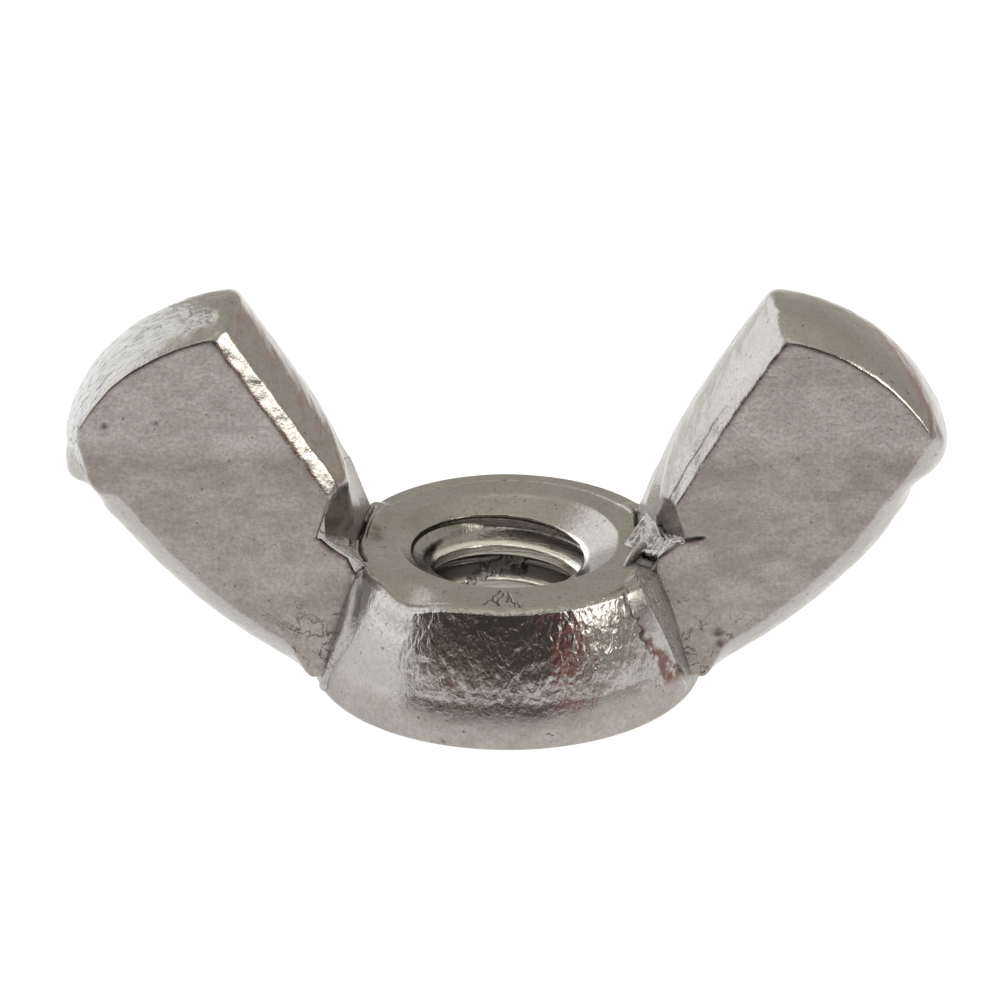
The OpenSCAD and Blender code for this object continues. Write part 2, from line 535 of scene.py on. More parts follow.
def lower_edge(q, side):
    """How far points lie outside the wing's long lower arc, with its worn lips."""
    w = WINGS[side]
    x, y, z = q[..., 0], q[..., 1], q[..., 2]
    crown = LOWER_CROWN * smooth_step(6.1, 7.5, x)
    crown = crown * (1.0 - w["low_fade"] * np.exp(-((x - 13.6) / 0.55) ** 2))
    arc = LOW_R - np.hypot(x - LOW_CENTRE[0], z - LOW_CENTRE[1])
    low = crown * np.abs(y / HALF_T) ** CROWN_POWER - arc
    for (lip_x, lip_z), depth, size in w["lips"]:
        low = low + depth * np.exp(-((x - lip_x) ** 2 + (z - lip_z) ** 2) / size ** 2)
    return low


def inner_edge(q, side):
    """How far points lie inside the wing's bevelled inner edge, before its foot."""
    w = WINGS[side]
    x, y, z = q[..., 0], q[..., 1], q[..., 2]
    inner = None
    for (px, pz), rise in w["inner"]:
        edge = ((z - pz) - rise * (x - px)) / math.hypot(1.0, rise)
        inner = edge if inner is None else smooth_max(inner, edge, w["blend"])
    ragged = 0.030 * noise(q, 0.36, 13) + 0.005 * noise(q, 0.13, 14)
    bevel = smooth_max(np.abs(y) - BEVEL_FROM - ragged, np.zeros_like(y), 0.05)
    crown = INNER_CROWN * (y / BEVEL_FROM) ** 2 + w["bevel"] * bevel
    return inner + (crown - w["lean"] * (y + HALF_T)) * smooth_step(5.2, 7.6, z)


def rims(q, side):
    """How far points lie outside each of a wing's crowned edges: tip, lower and inner."""
    x, y, z = q[..., 0], q[..., 1], q[..., 2]
    wobble = 0.018 * noise(q, 0.45, 3)
    foot = foot_x(y, side) + (0.12 + 0.25 * smooth_step(-1.0, 2.0, y)) * (z - HUB_H)
    inner = smooth_max(inner_edge(q, side) + wobble, foot + 0.02 - x, 0.25)
    return tip_edge(q, side) + wobble, lower_edge(q, side) + wobble, inner


def fold_height(x, side):
    """Height of the cold fold over the wing's face at each x."""
    fold_x, fold_z = zip(*WINGS[side]["fold"])
    return np.interp(x, fold_x, fold_z)


def tool_flat(q, side, y=None):
    """Height above the flat that the forming tool leaves across a neck's front corner.

    When y is given, every point is measured as if it lay at that y.
    """
    w = WINGS[side]
    if y is not None:
        q = np.stack([q[..., 0], np.full(q.shape[:-1], y), q[..., 2]], axis=-1)
    below = smooth_step(-0.05, 0.12, fold_height(q[..., 0], side) - q[..., 2])
    return plane(q, w["flat_point"], w["flat_normal"]) - 1.5 * below


def blank(q, side):
    """The whole wing with its crowned edge, as it was before the neck was pinched."""
    tip, low, inner = rims(q, side)
    edge = smooth_max(smooth_max(tip, low, 0.35), inner, 0.3)
    return smooth_max(np.abs(q[..., 1]) - HALF_T, edge, 0.10)


def pinched(q, side, body):
    """The wing's body cut back by the forming tool at the front of its neck."""
    return smooth_max(body, tool_flat(q, side), 0.24 if side < 0 else 0.10)


def neck_zone(q, side):
    """Negative inside the folded metal between a wing's inner edge and the land."""
    x, z = q[..., 0], q[..., 2]
    fold = 0.8 * (fold_height(x, side) - z)
    top = 0.73 * (z - 6.35 - 0.93 * (x - 4.88))
    return np.maximum(np.maximum(fold, top), -tool_flat(q, side, -HALF_T))


def fold_path(side, y):
    """The visible stretch of the cold fold, on the face at y."""
    return [(x, y, z) for x, z in WINGS[side]["fold"][1:]]


def groove(q, path, width):
    """Positive within a round groove that follows a path, thinner at both ends."""
    away, share = path_distance(q, path)
    return width * (0.35 + 0.65 * np.sin(np.pi * np.clip(share, 0.02, 0.98))) - away


# Rolls of metal pushed out along the wings' roots, as points with their radii.
BEADS = {
    -1: [[((4.84, -2.20, 4.46), 0.22), ((4.86, -2.50, 4.15), 0.36), ((4.98, -2.74, 3.3), 0.46),
          ((5.16, -2.90, 2.6), 0.46), ((5.62, -2.56, 1.7), 0.28), ((6.08, -2.28, 0.40), 0.21)]],
    1: [[((4.93, 2.36, 4.3), 0.26), ((5.25, 2.45, 3.2), 0.34), ((5.75, 2.38, 1.5), 0.24),
         ((6.1, 2.26, 0.5), 0.14)]],
}


def rounded(points, rounds=2):
    """A bead's points with the corners of its line cut off again and again."""
    line = [list(point) + [radius] for point, radius in points]
    for _ in range(rounds):
        cut = [line[0]]
        for a, b in zip(line[:-1], line[1:]):
            a, b = np.array(a), np.array(b)
            cut += [list(0.75 * a + 0.25 * b), list(0.25 * a + 0.75 * b)]
        line = cut + [line[-1]]
    return np.array(line)


def bead(q, points):
    """A rounded roll of metal along points, each given with its radius."""
    line = rounded(points)
    gap = np.full(q.shape[:-1], 9.0)
    close = np.abs(q[..., 0] - line[:, 0].mean()) < np.ptp(line[:, 0]) + 1.0
    if close.any():
        away, share = path_distance(q[close], line[:, :3])
        gap[close] = away - np.interp(share, np.linspace(0.0, 1.0, len(line)), line[:, 3])
    return gap


# Pits in the faces, as centres with their sizes.
DENTS = {
    -1: [((13.3, -2.2, 9.9), 0.09), ((9.2, -2.2, 8.6), 0.05), ((11.6, -2.2, 10.0), 0.07)],
    1: [((7.02, -2.2, 2.35), 0.14), ((7.1, -2.2, 1.95), 0.11), ((9.6, -2.2, 8.7), 0.05)],
}


def tear(q, side):
    """Share of torn metal, 0 to 1: a ragged patch over the left tip."""
    if side > 0:
        return np.zeros(q.shape[:-1])
    x, y, z = q[..., 0], q[..., 1], q[..., 2]
    swing = np.degrees(np.arctan2(z - TIP_CENTRE[1], x - TIP_CENTRE[0]))
    ragged = 5.0 * noise(q, 0.45, 11) + 2.5 * noise(q, 0.17, 12)
    upper = smooth_step(70.0, 66.0, swing + 4.0 * (y - 0.3) * (y < 0.3) + ragged)
    lower = smooth_step(9.0, 15.0, swing + 0.5 * ragged)
    front = smooth_step(-2.12, -1.98, y - 0.010 * np.clip(swing - 22.0, 0, 60) + 0.02 * ragged)
    return upper * lower * front


def wing_field(p, side):
    """The wing with its pits, rolled roots and fold, cut away where the neck starts."""
    q = side_points(p, side)
    body = pinched(q, side, blank(q, side)) + 0.05 * tear(q, side)
    for at, size in DENTS[side]:
        body = body + 0.8 * size * bump_at(q, at, (size, size, size))
    body = np.maximum(body, -neck_zone(q, side) - 0.04)
    uneven = 0.035 * noise(q, 0.7, 5) + 0.008 * noise(q, 0.2, 15)
    for points in BEADS[side]:
        body = smooth_min(body, bead(q, points) + uneven, 0.04)
    for y in (-HALF_T, HALF_T):
        body = smooth_max(body, groove(q, fold_path(side, y), 0.075), 0.02)
    return np.maximum(body, 4.2 - q[..., 0])


# The crack that splits the right neck's lump from its flat, and how far forward each neck's
# foot is cracked away from the land, as the lowest y.
RIGHT_CRACK = [(4.74, -0.40, 6.16), (5.08, -0.96, 5.62), (5.35, -1.42, 5.24)]
CRACK_FROM = {-1: -2.0, 1: 0.6}


def foot_gap(x, y, side):
    """Distance from the crack between a neck's foot and the land, seen from above."""
    path = [(cx, cy, 0.0) for cy, cx in FEET[side] if cy > CRACK_FROM[side]]
    away, _ = path_distance(np.stack([x, y, np.zeros_like(x)], axis=-1), path)
    return away


# Planes of folded metal on the necks, each a point and an outward direction.
LEFT_WALL = (5.45, -0.95, 5.5), (-0.90, -0.42, 0.02)
LEFT_SHELF = (5.5, -2.2, 5.37), (-0.58, 0.167, 0.796)
RIGHT_SHELF = (5.42, -0.72, 5.41), (-0.62, -0.18, 0.76)
RIGHT_FRONT = (5.5, -2.18, 5.23), (-0.32, -0.84, 0.45)
LUMP_FACE = (4.73, -0.4, 5.84), (-0.695, -0.561, 0.449)
LUMP_UNDER = (5.07, -1.57, 4.905), (0.0, -0.707, -0.707)
LUMP_CREST = (4.73, -0.4, 5.84), (0.80, 0.30, 0.53)
LUMP_BACK_Y = -0.28
LUMP_INNER_X = 3.9

# Rolls of metal on the necks, as points with their radii.
LEFT_ROLL = [((5.32, -2.02, 5.00), 0.13), ((5.16, -2.02, 4.86), 0.18), ((5.02, -2.00, 4.70), 0.19)]
SPUR = [((4.52, -0.90, 4.78), 0.24), ((4.16, -1.45, 4.78), 0.15), ((3.90, -2.08, 4.70), 0.05)]
LIP = [((4.35, -1.05, 4.80), 0.09), ((5.05, -1.60, 4.92), 0.10),
       ((5.42, -1.86, 5.40), 0.10), ((5.80, -2.16, 5.66), 0.07)]


def left_neck(q):
    """The tool's flat, a wall below it down to the crack, and a bright shelf along the fold."""
    body = blank(q, -1)
    wall = plane(q, *LEFT_WALL) + 0.03 * noise(q, 0.5, 6)
    shelf = plane(q, *LEFT_SHELF) + 0.05 * noise(q, 0.25, 7)
    stepped = smooth_max(body, smooth_min(wall, shelf, 0.10), 0.06)
    roll = bead(q, LEFT_ROLL) + 0.03 * noise(q, 0.3, 16)
    return smooth_min(pinched(q, -1, body), stepped, 0.06), roll


def squeezed_lump(q):
    """The flake of metal that was squeezed out of the right neck and over the land."""
    lump = plane(q, *LUMP_FACE) + 0.06 * noise(q, 0.5, 9) + 0.016 * noise(q, 0.16, 17)
    lump = smooth_max(lump, plane(q, *LUMP_UNDER), 0.06)
    lump = smooth_max(lump, plane(q, *LUMP_CREST), 0.04)
    return np.maximum(lump, np.maximum(q[..., 1] - LUMP_BACK_Y, LUMP_INNER_X - q[..., 0]))


def right_neck(q):
    """The tool's flat with a squeezed-out lump that laps over the land and ends in a spur."""
    body = blank(q, 1)
    shelf = plane(q, *RIGHT_SHELF) + 0.03 * noise(q, 0.5, 6)
    front = plane(q, *RIGHT_FRONT) + 0.05 * noise(q, 0.22, 7)
    shelf = smooth_max(body, smooth_max(shelf, front, 0.05), 0.04)
    lip = bead(q, LIP) + 0.05 * noise(q, 0.18, 10)
    loose = smooth_min(squeezed_lump(q), smooth_min(bead(q, SPUR), lip, 0.04), 0.05)
    return smooth_min(pinched(q, 1, body), shelf, 0.03), loose


def neck_field(p, side):
    """The pinched metal inside the neck's zone, with the loose rolls that lap out of it."""
    q = side_points(p, side)
    body, loose = right_neck(q) if side > 0 else left_neck(q)
    body = smooth_min(np.maximum(body, neck_zone(q, side) - 0.03), loose, 0.04)
    if side > 0:
        body = smooth_max(body, 1.3 * groove(q, RIGHT_CRACK, 0.10), 0.02)
    gap = foot_gap(q[..., 0], q[..., 1], side) + 0.4 * (q[..., 2] - HUB_H)
    return np.maximum(smooth_max(body, 0.016 - gap, 0.02), HUB_H - 0.2 - q[..., 2])


def mirrored(low, high, side):
    """The same box on either side of the bore."""
    if side > 0:
        return low, high
    return [-high[0], low[1], low[2]], [-low[0], high[1], high[2]]


def near(distance, reach):
    """1 on a line, fading to 0 at reach away from it."""
    return 1.0 - smooth_step(0.35 * reach, reach, distance)


# The boxes that the right wing and neck are made in, and the sizes of their meshes' cells.
WING_BOX = [4.0, -3.6, 0.0], [15.2, 2.9, 13.8]
NECK_BOX = [3.7, -2.6, 4.3], [6.7, 2.5, 7.8]
WING_STEP = 0.068
NECK_STEP = 0.036


def build_wing(side, node):
    """A wing with polished rims, dark folds and pits, a torn tip, and rust under its fold."""
    v, f = surface_of(lambda p: wing_field(p, side), *mirrored(*WING_BOX, side), WING_STEP)
    q = side_points(v, side)
    x, y, z = q.T
    edge = np.max(rims(q, side), axis=0)
    beads = near(np.min([bead(q, points) for points in BEADS[side]], axis=0), 0.12)
    polish = np.maximum(smooth_step(-0.07, 0.0, edge - np.abs(y) + HALF_T), 0.5 * beads)
    front_fold, back_fold = [path_distance(q, fold_path(side, y))[0] for y in (-HALF_T, HALF_T)]
    dark = 0.95 * near(np.minimum(front_fold, back_fold), 0.10)
    for at, size in DENTS[side]:
        dark = np.maximum(dark, 0.6 * bump_at(q, at, (size, size, size)))
    front_or_rim = np.maximum(polish, smooth_step(HALF_T - 0.2, HALF_T - 0.4, y))
    marks = {
        "polish": polish,
        "dark": dark,
        "torn": np.maximum(tear(q, side) * front_or_rim, 0.22 * beads),
        "cracked": smooth_step(4.0, 1.6, z) * smooth_step(9.5, 6.5, x) * (1.0 - polish),
        "rust": 0.6 * near(front_fold, 0.30) * smooth_step(0.0, 0.1, fold_height(x, side) - z),
    }
    return make_piece(node + "_forging", v, f, WING_STEEL, node, marks)


def build_neck(side, node):
    """A neck of polished metal with a matte back, torn laps and dark cracks at its foot."""
    v, f = surface_of(lambda p: neck_field(p, side), *mirrored(*NECK_BOX, side), NECK_STEP)
    q = side_points(v, side)
    x, y, z = q.T
    dark = near(foot_gap(x, y, side), 0.10) * smooth_step(5.3, 4.9, z)
    if side > 0:
        dark = np.maximum(dark, near(path_distance(q, RIGHT_CRACK)[0], 0.13))
        lap = np.maximum(0.5 * smooth_step(5.9, 5.5, z), near(right_neck(q)[1], 0.10))
    else:
        lap = near(np.abs(plane(q, *LEFT_SHELF)), 0.18) * smooth_step(-0.6, -0.9, y)
    not_back = smooth_step(HALF_T - 0.02, HALF_T - 0.10, y)
    torn = 0.10 if side > 0 else 0.30
    marks = {"polish": (0.70 + 0.30 * lap) * not_back, "dark": dark, "torn": torn * lap * not_back}
    return make_piece(node + "_forging", v, f, NECK_STEEL, node, marks)


# ---------------------------------------------------------------- hub

# The roundness of the hub's edges, and of the corner where the cone rises from the rim.
EDGE_R = 0.25
FOOT_BLEND = 0.45

# The hub mesh's columns all the way round, and its rows down the bore.
HUB_COLUMNS = 400
BORE_ROWS = 100

# The height of a thread crest at the back of the bore, and how far the topmost groove is drawn
# out on the left.
CREST_UP = 3.13
DRAWN_OUT = 0.17

# The torn sliver in the bore: the angle where it starts, how far round it goes, both in
# degrees, how high it starts, how far it climbs, and how far it leans in for its width.
SLIVER_FROM = 126.0
SLIVER_TURN = 48.0
SLIVER_UP = 2.02
SLIVER_CLIMB = 0.60
SLIVER_LEAN = 1.2


def thread_radius(theta, z):
    """Radius of the right-handed 60 degree thread's wall at an angle and height."""
    crest_z = CREST_UP + PITCH * (theta - math.pi / 2) / (2 * math.pi)
    drawn_out = DRAWN_OUT * (1.0 - np.cos(theta)) ** 0.6 * smooth_step(3.55, 4.05, z)
    away = np.abs((z - drawn_out - crest_z + PITCH / 2) % PITCH - PITCH / 2)
    flank = CREST_R + (away - PITCH / 8) * math.sqrt(3)
    wall = smooth_max(flank, np.full_like(flank, CREST_R), 0.05)
    return smooth_min(wall, np.full_like(flank, ROOT_R), 0.06)


def burr(theta, z):
    """How far a torn sliver of thread leans into the bore at the back: most at its lower edge."""
    turn = np.degrees(theta)
    along = (SLIVER_FROM - turn) / SLIVER_TURN
    middle = SLIVER_UP + SLIVER_CLIMB * along + 0.04 * np.sin(turn * 0.9)
    half = 0.10 + 0.11 * np.clip(along, 0, 1) + 0.04 * np.sin(turn * 0.9) * np.sin(turn * 0.37)
    lean = np.clip((middle + half - z) / (2.0 * half), 0.0, 1.0)
    edge = smooth_step(middle - half, middle - half + 0.05, z)
    ends = smooth_step(0.0, 0.1, along) * smooth_step(1.0, 0.96, along)
    return SLIVER_LEAN * half * lean * edge * ends


def bore_wall(theta, z):
    """Radius of the bore at an angle and height, with its thread, sliver and countersinks."""
    top = SINK_R + (z - HUB_H) * SINK_SLOPE
    foot = BASE_SINK_R - z * SINK_SLOPE
    wall = thread_radius(theta, z) - burr(theta, z)
    wall = smooth_max(wall, top, 0.03)
    return smooth_max(wall, foot, 0.03)


def hub_profile():
    """The hub's outer line, each point with its outward direction: (r, z, out_r, out_z)."""
    lean = (BASE_R - TOP_R) / (HUB_H - RIM_H)
    slope = math.atan(lean)
    side_out = (math.cos(slope), math.sin(slope))
    line = [(r, 0.0, 0.0, -1.0) for r in np.linspace(BASE_SINK_R, BASE_R - EDGE_R, 12)]
    for a in np.radians(np.linspace(-90, 0, 9)[1:]):
        out = (math.cos(a), math.sin(a))
        line.append((BASE_R - EDGE_R + EDGE_R * out[0], EDGE_R + EDGE_R * out[1]) + out)
    for z in np.linspace(EDGE_R, HUB_H - 0.2, 76)[1:]:
        line.append((BASE_R - lean * smooth_max(z - RIM_H, 0.0, FOOT_BLEND), z) + side_out)
    for a in np.linspace(slope, math.pi / 2, 10)[1:]:
        out = (math.cos(a), math.sin(a))
        line.append((TOP_R - EDGE_R + EDGE_R * out[0], HUB_H - EDGE_R + EDGE_R * out[1]) + out)
    line += [(r, HUB_H, 0.0, 1.0) for r in np.linspace(TOP_R - EDGE_R - 0.05, SINK_R, 30)]
    return np.array(line)


def climb(r, z):
    """Height up the cone, carried on inwards across the land."""
    return z + np.where(z > HUB_H - 0.02, TOP_R - EDGE_R - r, 0.0)


# The sharp ridge beside the right wing. Its top, its foot and how far it stands out change
# with height up the cone. Round means degrees round the hub from the wing towards the front.
RIDGE_UP = (0.45, 1.4, 2.8, 3.87, 4.62, 4.80, 5.25)
RIDGE_ROUND = (24.9, 29.6, 34.1, 37.4, 37.4, 31.5, 22.0)
RIDGE_FOOT_UP = (0.5, 1.1, 1.8, 3.0, 4.3, 4.7, 5.4)
RIDGE_FOOT_ROUND = (29.0, 34.2, 36.5, 41.7, 44.0, 43.0, 28.0)
RIDGE_OUT_UP = (0.3, 0.7, 2.2, 3.9, 4.7, 5.3)
RIDGE_OUT = (0.0, 0.12, 0.24, 0.26, 0.19, 0.0)

# The mesh column that runs up the ridge starts near this many degrees round from the wing, and
# the columns within reach of it, in degrees, bend along with it.
RIDGE_MIDDLE = 31.0
RIDGE_REACH = 13.0

# The cone's inward slope along the wing's root, and the height over which it runs.
ROOT_SLOPE = 0.317
ROOT_RISE = 3.85


def ridge(theta, up):
    """How far the ridge beside the right wing stands out: a tent with a sharp top."""
    turn = -np.degrees(theta)
    top = np.interp(up, RIDGE_UP, RIDGE_ROUND)
    far = np.interp(up, RIDGE_FOOT_UP, RIDGE_FOOT_ROUND)
    root_r = BASE_R - ROOT_SLOPE * np.clip(up - RIM_H, 0, ROOT_RISE)
    wing = np.degrees(np.arcsin(HALF_T / root_r))
    rise = np.where(turn > top, (far - turn) / (far - top), (turn - wing) / (top - wing))
    rise = np.clip(rise, 0.0, 1.0)
    hollow = 0.35 * rise * (1.0 - rise) * (turn > top)
    return (rise - hollow) * np.interp(up, RIDGE_OUT_UP, RIDGE_OUT)


# The little cracks at the front of the land, each a path of (x, y).
LAND_CRACKS = [
    [(-0.28, -3.90), (-0.45, -4.62), (-0.75, -5.10)],
    [(-0.15, -4.20), (-0.28, -4.95)],
    [(-0.45, -4.62), (-0.30, -5.15)],
    [(0.00, -4.05), (0.15, -4.62), (0.22, -5.10)],
    [(0.15, -4.62), (0.45, -5.12)],
    [(-0.02, -4.45), (0.0, -4.85)],
]


def land_cracks(x, y):
    """Distance from the little branching cracks at the front of the land."""
    flat = np.stack([x, y, np.zeros_like(x)], axis=-1)
    jitter = [noise(flat, 0.20, 21), noise(flat, 0.20, 22), np.zeros_like(x)]
    flat = flat + 0.09 * np.stack(jitter, axis=-1)
    paths = [[(a, b, 0.0) for a, b in path] for path in LAND_CRACKS]
    return np.min([path_distance(flat, path)[0] for path in paths], axis=0)


# The rolled corner of the land, front left: its angle and its reach, both in degrees.
CORNER_TURN = -127.5
CORNER_REACH = 11.0


def shape_outside(theta, r, z, out_r, out_z):
    """The hub's outer points moved to their worn and forged places: new r and z."""
    x, y = r * np.cos(theta), r * np.sin(theta)
    up = climb(r, z)
    on_land = smooth_step(HUB_H - 0.05, HUB_H, z)
    on_cone = smooth_step(RIM_H, RIM_H + 0.7, z) * (1.0 - on_land)
    place = np.stack([x, y, z], axis=-1)
    out = ridge(theta, up)
    out = out + 0.075 * on_cone * np.sin(np.pi * np.clip((z - 1.6) / 3.0, 0, 1))
    out = out + on_cone * (0.008 * noise(place, 0.8, 31) + 0.003 * noise(place, 0.3, 32))
    out = out + 0.012 * noise(place, 1.3, 33) * smooth_step(0.02, 0.3, z)
    corner = np.exp(-((np.degrees(theta) - CORNER_TURN) / CORNER_REACH) ** 2)
    roll = corner * smooth_step(4.3, TOP_R, r) * smooth_step(3.4, HUB_H - 0.15, z)
    new_z = z + out * out_z - 0.32 * roll
    new_r = r + out * out_r + 0.16 * roll
    cracks = on_land * near(land_cracks(x, y), 0.055)
    new_z = new_z - 0.04 * cracks
    for side in (-1, 1):
        gap = foot_gap(x * side, y, side)
        swell = 0.06 * near(np.maximum(gap - 0.1, 0), 0.75) * (x * side > 0)
        if side < 0:
            swell = swell + 0.12 * near(gap, 0.8) * smooth_step(0.2, 2.0, y)
        new_z = new_z + on_land * (swell - 0.15 * near(gap, 0.05))
    new_z = new_z + 0.06 * on_land * smooth_step(0.0, 3.0, y)
    return new_r, new_z


def column_angles(count):
    """Angles round the hub, closer together at the front and across the back of the bore."""
    turn = np.linspace(-math.pi, math.pi, 3600)
    density = 1 + 2.5 * np.exp(-((turn + math.pi / 2) / 1.15) ** 4)
    density = density + 0.8 * np.exp(-((turn - math.pi / 2) / 0.9) ** 2)
    share = np.concatenate([[0.0], np.cumsum(0.5 * (density[1:] + density[:-1]))])
    return np.interp(np.arange(count) / count, share / share[-1], turn)


def bent_columns(theta, up):
    """Column angles at each height, bent so that one column runs up the sharp ridge, and which
    points are on that column."""
    column = np.argmin(np.abs(theta + math.radians(RIDGE_MIDDLE)))
    middle = theta[column]
    follow = np.radians(RIDGE_MIDDLE - np.interp(up, RIDGE_UP, RIDGE_ROUND))
    pull = np.exp(-((theta - middle) / math.radians(RIDGE_REACH)) ** 2)
    t = theta + pull * (follow - math.radians(RIDGE_MIDDLE) - middle)
    on_column = np.arange(len(theta)) == column
    return t, np.broadcast_to(on_column, up.shape)


def closed_ring(rows, columns):
    """The quads of a grid that closes on itself both ways."""
    i, j = np.meshgrid(np.arange(rows), np.arange(columns), indexing="ij")
    here, there = i * columns, (i + 1) % rows * columns
    right = (j + 1) % columns
    return np.stack([here + j, here + right, there + right, there + j], axis=-1).reshape(-1, 4)


def outside_marks(t, r, z, on_column):
    """How each point outside the bore looks: cone, land, ridge, cracks and rust, with painted shade on
    the low rim and on the ridge's far facet, and a painted red reflection on the land.
    """
    x, y, up = r * np.cos(t), r * np.sin(t), climb(r, z)
    place = np.stack([x, y, z], axis=-1)
    cone = smooth_step(RIM_H + 0.1, RIM_H + 0.8, z)
    cone = cone * (1 - smooth_step(HUB_H - 0.15, HUB_H - 0.02, z))
    land = smooth_step(HUB_H - 0.1, HUB_H - 0.01, z)
    on_side = smooth_step(4.75, 4.5, z) * smooth_step(0.9, 1.3, z)
    stand = np.clip(ridge(t, up) / 0.05, 0, 1)
    wing_side = stand * (-np.degrees(t) < np.interp(up, RIDGE_UP, RIDGE_ROUND))
    gaps = np.minimum(foot_gap(-x, y, -1), foot_gap(x, y, 1))
    cracks = np.maximum(0.85 * near(land_cracks(x, y), 0.055), near(gaps, 0.055))
    past_foot = np.interp(up, RIDGE_FOOT_UP, RIDGE_FOOT_ROUND) + np.degrees(t)
    past_foot = past_foot + 2.2 * noise(place, 0.30, 41) + 1.2 * noise(place, 0.12, 42)
    foot_line = near(np.abs(past_foot), 1.1) * on_side * smooth_step(1.8, 2.8, z)
    # Painted shade: the upper part of the ridge's far facet is darkened through the dark mark.
    shaded = 0.45 * stand * (1 - wing_side) * smooth_step(2.8, 3.9, z) * on_side
    band = 7.0 * np.clip((3.5 - z) / 2.2, 0.0, 1.0)
    rust = on_side * smooth_step(-1.0, 0.0, past_foot) * smooth_step(band + 0.8, band - 0.4, past_foot)
    # Painted reflection: a reddish spot on the land by the left crack, coloured through the rust mark.
    red_reflection_spot = land * near(np.hypot((x + 4.45) / 0.5, (y - 0.35) / 1.0), 0.9)
    ahead = np.exp(-((np.degrees(t) + 82.0) / 42.0) ** 4)
    pebbled = (0.25 + 0.75 * smooth_step(0.8, 3.0, z)) * (0.5 + 0.5 * ahead)
    pebbled = pebbled + 0.35 * ahead * smooth_step(2.6, 4.2, z)
    return {
        # Painted shade: the low rim keeps only 0.35 of the rim colour, so it shows the darker face
        # colour in place of the shaded floor it would reflect. The cone and land are really polished.
        "polish": 0.35 + 0.65 * cone * (1 - 0.5 * wing_side) + 0.42 * land,
        "dark": np.maximum(land * cracks, 0.75 * np.maximum(foot_line, shaded)),
        "torn": np.maximum(stand * on_column, 0.30 * wing_side),
        "wrinkled": cone * (1 - 0.75 * stand) * pebbled,
        "cracked": wing_side,
        "turned": 0.3 * land,
        "rust": np.maximum(rust, 0.7 * red_reflection_spot),
    }


def bore_marks(t, r, z):
    """How each point of the bore looks: turned metal, duller countersinks and a torn sliver."""
    sink = smooth_step(CREST_R + 0.1, CREST_R + 0.3, r)
    none = np.zeros(r.shape)
    marks = dict.fromkeys(MARKS, none)
    marks["polish"] = none + 0.85
    marks["torn"] = 0.5 * smooth_step(0.0, 0.07, burr(t, z))
    marks["turned"] = 1.0 - 0.6 * sink
    return marks


def build_hub():
    """One closed ring of quads: up the outside, over the land and down the threaded bore."""
    theta = column_angles(HUB_COLUMNS)
    line = hub_profile()
    r, z, out_r, out_z = [np.repeat(line[:, i:i + 1], HUB_COLUMNS, axis=1) for i in range(4)]
    t, on_column = bent_columns(theta, climb(r, z))
    outer_r, outer_z = shape_outside(t, r, z, out_r, out_z)
    down = np.linspace(HUB_H, 0.0, BORE_ROWS + 2)[1:-1, None]
    bore_z = np.repeat(down, HUB_COLUMNS, axis=1)
    bore_t = np.broadcast_to(theta, bore_z.shape)
    bore_r = bore_wall(bore_t, bore_z)
    all_t = np.concatenate([t, bore_t])
    all_r = np.concatenate([outer_r, bore_r])
    all_z = np.concatenate([outer_z, bore_z])
    v = np.stack([all_r * np.cos(all_t), all_r * np.sin(all_t), all_z], axis=-1).reshape(-1, 3)
    f = closed_ring(len(all_r), HUB_COLUMNS)
    outside, inside = outside_marks(t, r, z, on_column), bore_marks(bore_t, bore_r, bore_z)
    marks = {mark: np.concatenate([outside[mark], inside[mark]]).reshape(-1) for mark in MARKS}
    return make_piece("hub_forging", v, f, HUB_STEEL, "hub", marks)


# ---------------------------------------------------------------- studio

# The light from each part of the room.
BACK_WALL = rgb(0.64, 0.61, 0.55), rgb(0.56, 0.545, 0.475)
CEILING = rgb(0.72, 0.68, 0.585)
UNLIT_ROOM = rgb(0.072, 0.068, 0.064)
UNLIT_TOP = rgb(1.1, 1.08, 1.0)
UNLIT_FLOOR = rgb(0.150, 0.115, 0.100)
RED_CLOTH = rgb(0.62, 0.09, 0.08)
BROWN_CLOTH = rgb(0.36, 0.22, 0.18)
RED_STRIP = rgb(0.40, 0.10, 0.09)
LEFT_WALL_LIGHT = rgb(1.56, 1.56, 1.56)
RIGHT_BOX = rgb(3.9, 3.78, 3.45)
RIGHT_SHADE = rgb(0.10, 0.098, 0.092)

# The floor: its size, how far it lies below the nut, and its glow near, with painted shade far and
# ahead and a painted shadow under the nut.
FLOOR_SIZE = 3.0
FLOOR_DROP = 0.00004
PAPER = rgb(0.95, 0.95, 0.95)
PAPER_FAR_SHADE = rgb(0.42, 0.41, 0.38)
PAPER_UNDER_SHADOW = rgb(0.35, 0.34, 0.32)
PAPER_AHEAD_SHADE = rgb(0.17, 0.125, 0.105)
PAPER_TINT = rgb(0.25, 0.25, 0.25)


def between(m, value, low, high, soft):
    """1 where value lies from low to high, with soft edges."""
    return m.times(m.remap(value, low - soft, low + soft), m.remap(value, high + soft, high - soft))


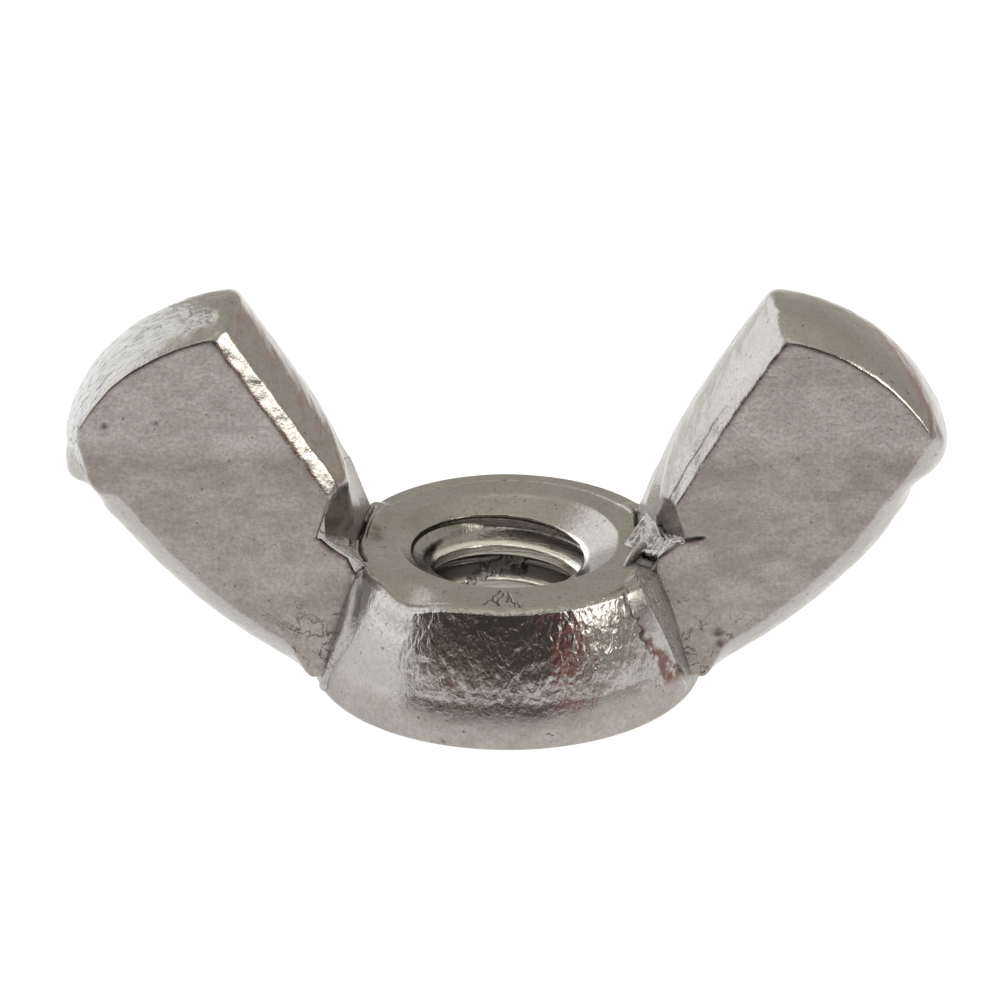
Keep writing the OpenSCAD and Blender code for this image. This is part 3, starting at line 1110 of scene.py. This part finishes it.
def studio_light():
    """World light by direction: a wide soft wall on the left, a warm soft box on the right,
    a dim wall behind on the right, and the unlit side of the room in front.

    Turn is in degrees from straight behind the nut to the right, and rise is in degrees above
    the horizon.
    """
    world = bpy.data.worlds.new("studio")
    bpy.context.scene.world = world
    world.use_nodes = True
    m = Nodes.for_tree(world.node_tree)
    x, y, z = m.split(m.add("ShaderNodeTexCoord").outputs["Generated"])
    turn = m.times(m.math("ARCTAN2", x, y), 180 / math.pi)
    rise = m.times(m.math("ARCSINE", z), 180 / math.pi)
    wall = m.mix(m.remap(rise, 8, 25), *BACK_WALL)
    wall = m.mix(m.remap(rise, 35, 80), wall, CEILING)
    unlit = m.mix(m.remap(rise, 36, 60), UNLIT_ROOM, UNLIT_TOP)
    unlit = m.mix(m.remap(rise, 66, 84), unlit, CEILING)
    unlit = m.mix(m.remap(rise, 9, 3), unlit, UNLIT_FLOOR)
    red = m.times(between(m, turn, 127, 151, 5), m.remap(rise, 16, 6))
    unlit = m.mix(m.times(red, 0.5), unlit, RED_CLOTH)
    brown = m.times(between(m, turn, -166, -130, 5), m.remap(rise, 11, 4))
    unlit = m.mix(m.times(brown, 0.6), unlit, BROWN_CLOTH)
    front = m.math("MAXIMUM", m.remap(turn, 126, 134), m.remap(turn, -114, -122))
    colour = m.mix(front, wall, unlit)
    left = m.times(between(m, turn, -118, -20, 5), m.remap(rise, 58, 40))
    colour = m.mix(left, colour, LEFT_WALL_LIGHT)
    right = m.times(between(m, turn, 98, 130, 4), between(m, rise, 9, 38, 4))
    colour = m.mix(right, colour, RIGHT_BOX)
    shade = m.times(between(m, turn, 90, 136, 4), m.remap(rise, 9, 4))
    colour = m.mix(m.times(shade, 0.85), colour, RIGHT_SHADE)
    strip = m.times(between(m, turn, 18, 78, 6), m.remap(rise, 5, 2))
    colour = m.mix(m.times(strip, 0.75), colour, RED_STRIP)
    m.link(colour, m.tree.nodes["Background"].inputs["Color"])


def studio_floor():
    """A pale sheet that glows evenly around the nut, with painted shade far away and ahead and a
    painted shadow under the bore.
    """
    bpy.ops.mesh.primitive_plane_add(size=FLOOR_SIZE, location=(0, 0, -FLOOR_DROP))
    floor = bpy.context.object
    floor.name = "studio_floor"
    paper = Nodes("studio_paper")
    x, y, _ = paper.split(paper.place)
    away = paper.length(x, y)
    # The sheet glows. Painted shade dims it far away and ahead, and a painted shadow dims it under the
    # bore.
    glow = paper.mix(paper.remap(away, 0.09, 0.20), PAPER, PAPER_FAR_SHADE)
    glow = paper.mix(paper.remap(away, 0.0062, 0.0045), glow, PAPER_UNDER_SHADOW)
    aside = paper.math("SUBTRACT", paper.times(x, 0.9), paper.times(y, 0.43))
    ahead = paper.math("MAXIMUM", paper.times(y, -1.0), paper.plus(aside, 0.006))
    glow = paper.mix(paper.remap(ahead, 0.030, 0.044), glow, PAPER_AHEAD_SHADE)
    paper.shader.inputs["Base Color"].default_value = PAPER_TINT
    paper.shader.inputs["Roughness"].default_value = 0.9
    paper.link(glow, paper.shader.inputs["Emission Color"])
    paper.shader.inputs["Emission Strength"].default_value = 1.0
    floor.data.materials.append(paper.material)


def build_studio():
    bpy.context.scene.view_settings.view_transform = "Standard"
    studio_light()
    studio_floor()


CAMERA_ELEVATION = math.radians(25.4)
CAMERA_DISTANCE = 0.25
CAMERA_CENTRE = Vector((0.0, 0.0, 0.0025))
CAMERA_AIM = Vector((-0.00025, 0.0, 0.00619))
SENSOR_WIDTH = 36.0
FOCAL_LENGTH = 7.425 * SENSOR_WIDTH


def build_camera():
    """Looks along +Y and down on the nut, from eight widths away."""
    camera = bpy.data.objects.new("camera", bpy.data.cameras.new("camera"))
    back = Vector((0, -math.cos(CAMERA_ELEVATION), math.sin(CAMERA_ELEVATION)))
    camera.location = CAMERA_CENTRE + CAMERA_DISTANCE * back
    camera.rotation_euler = (CAMERA_AIM - camera.location).to_track_quat("-Z", "Y").to_euler()
    camera.data.lens = FOCAL_LENGTH
    camera.data.sensor_width = SENSOR_WIDTH
    camera.data.clip_start = 0.01
    camera.data.clip_end = 10.0
    bpy.context.scene.collection.objects.link(camera)
    bpy.context.scene.camera = camera


build_wing(-1, "wing_left")
build_wing(1, "wing_right")
build_neck(-1, "neck_left")
build_neck(1, "neck_right")
build_hub()
build_studio()
build_camera()
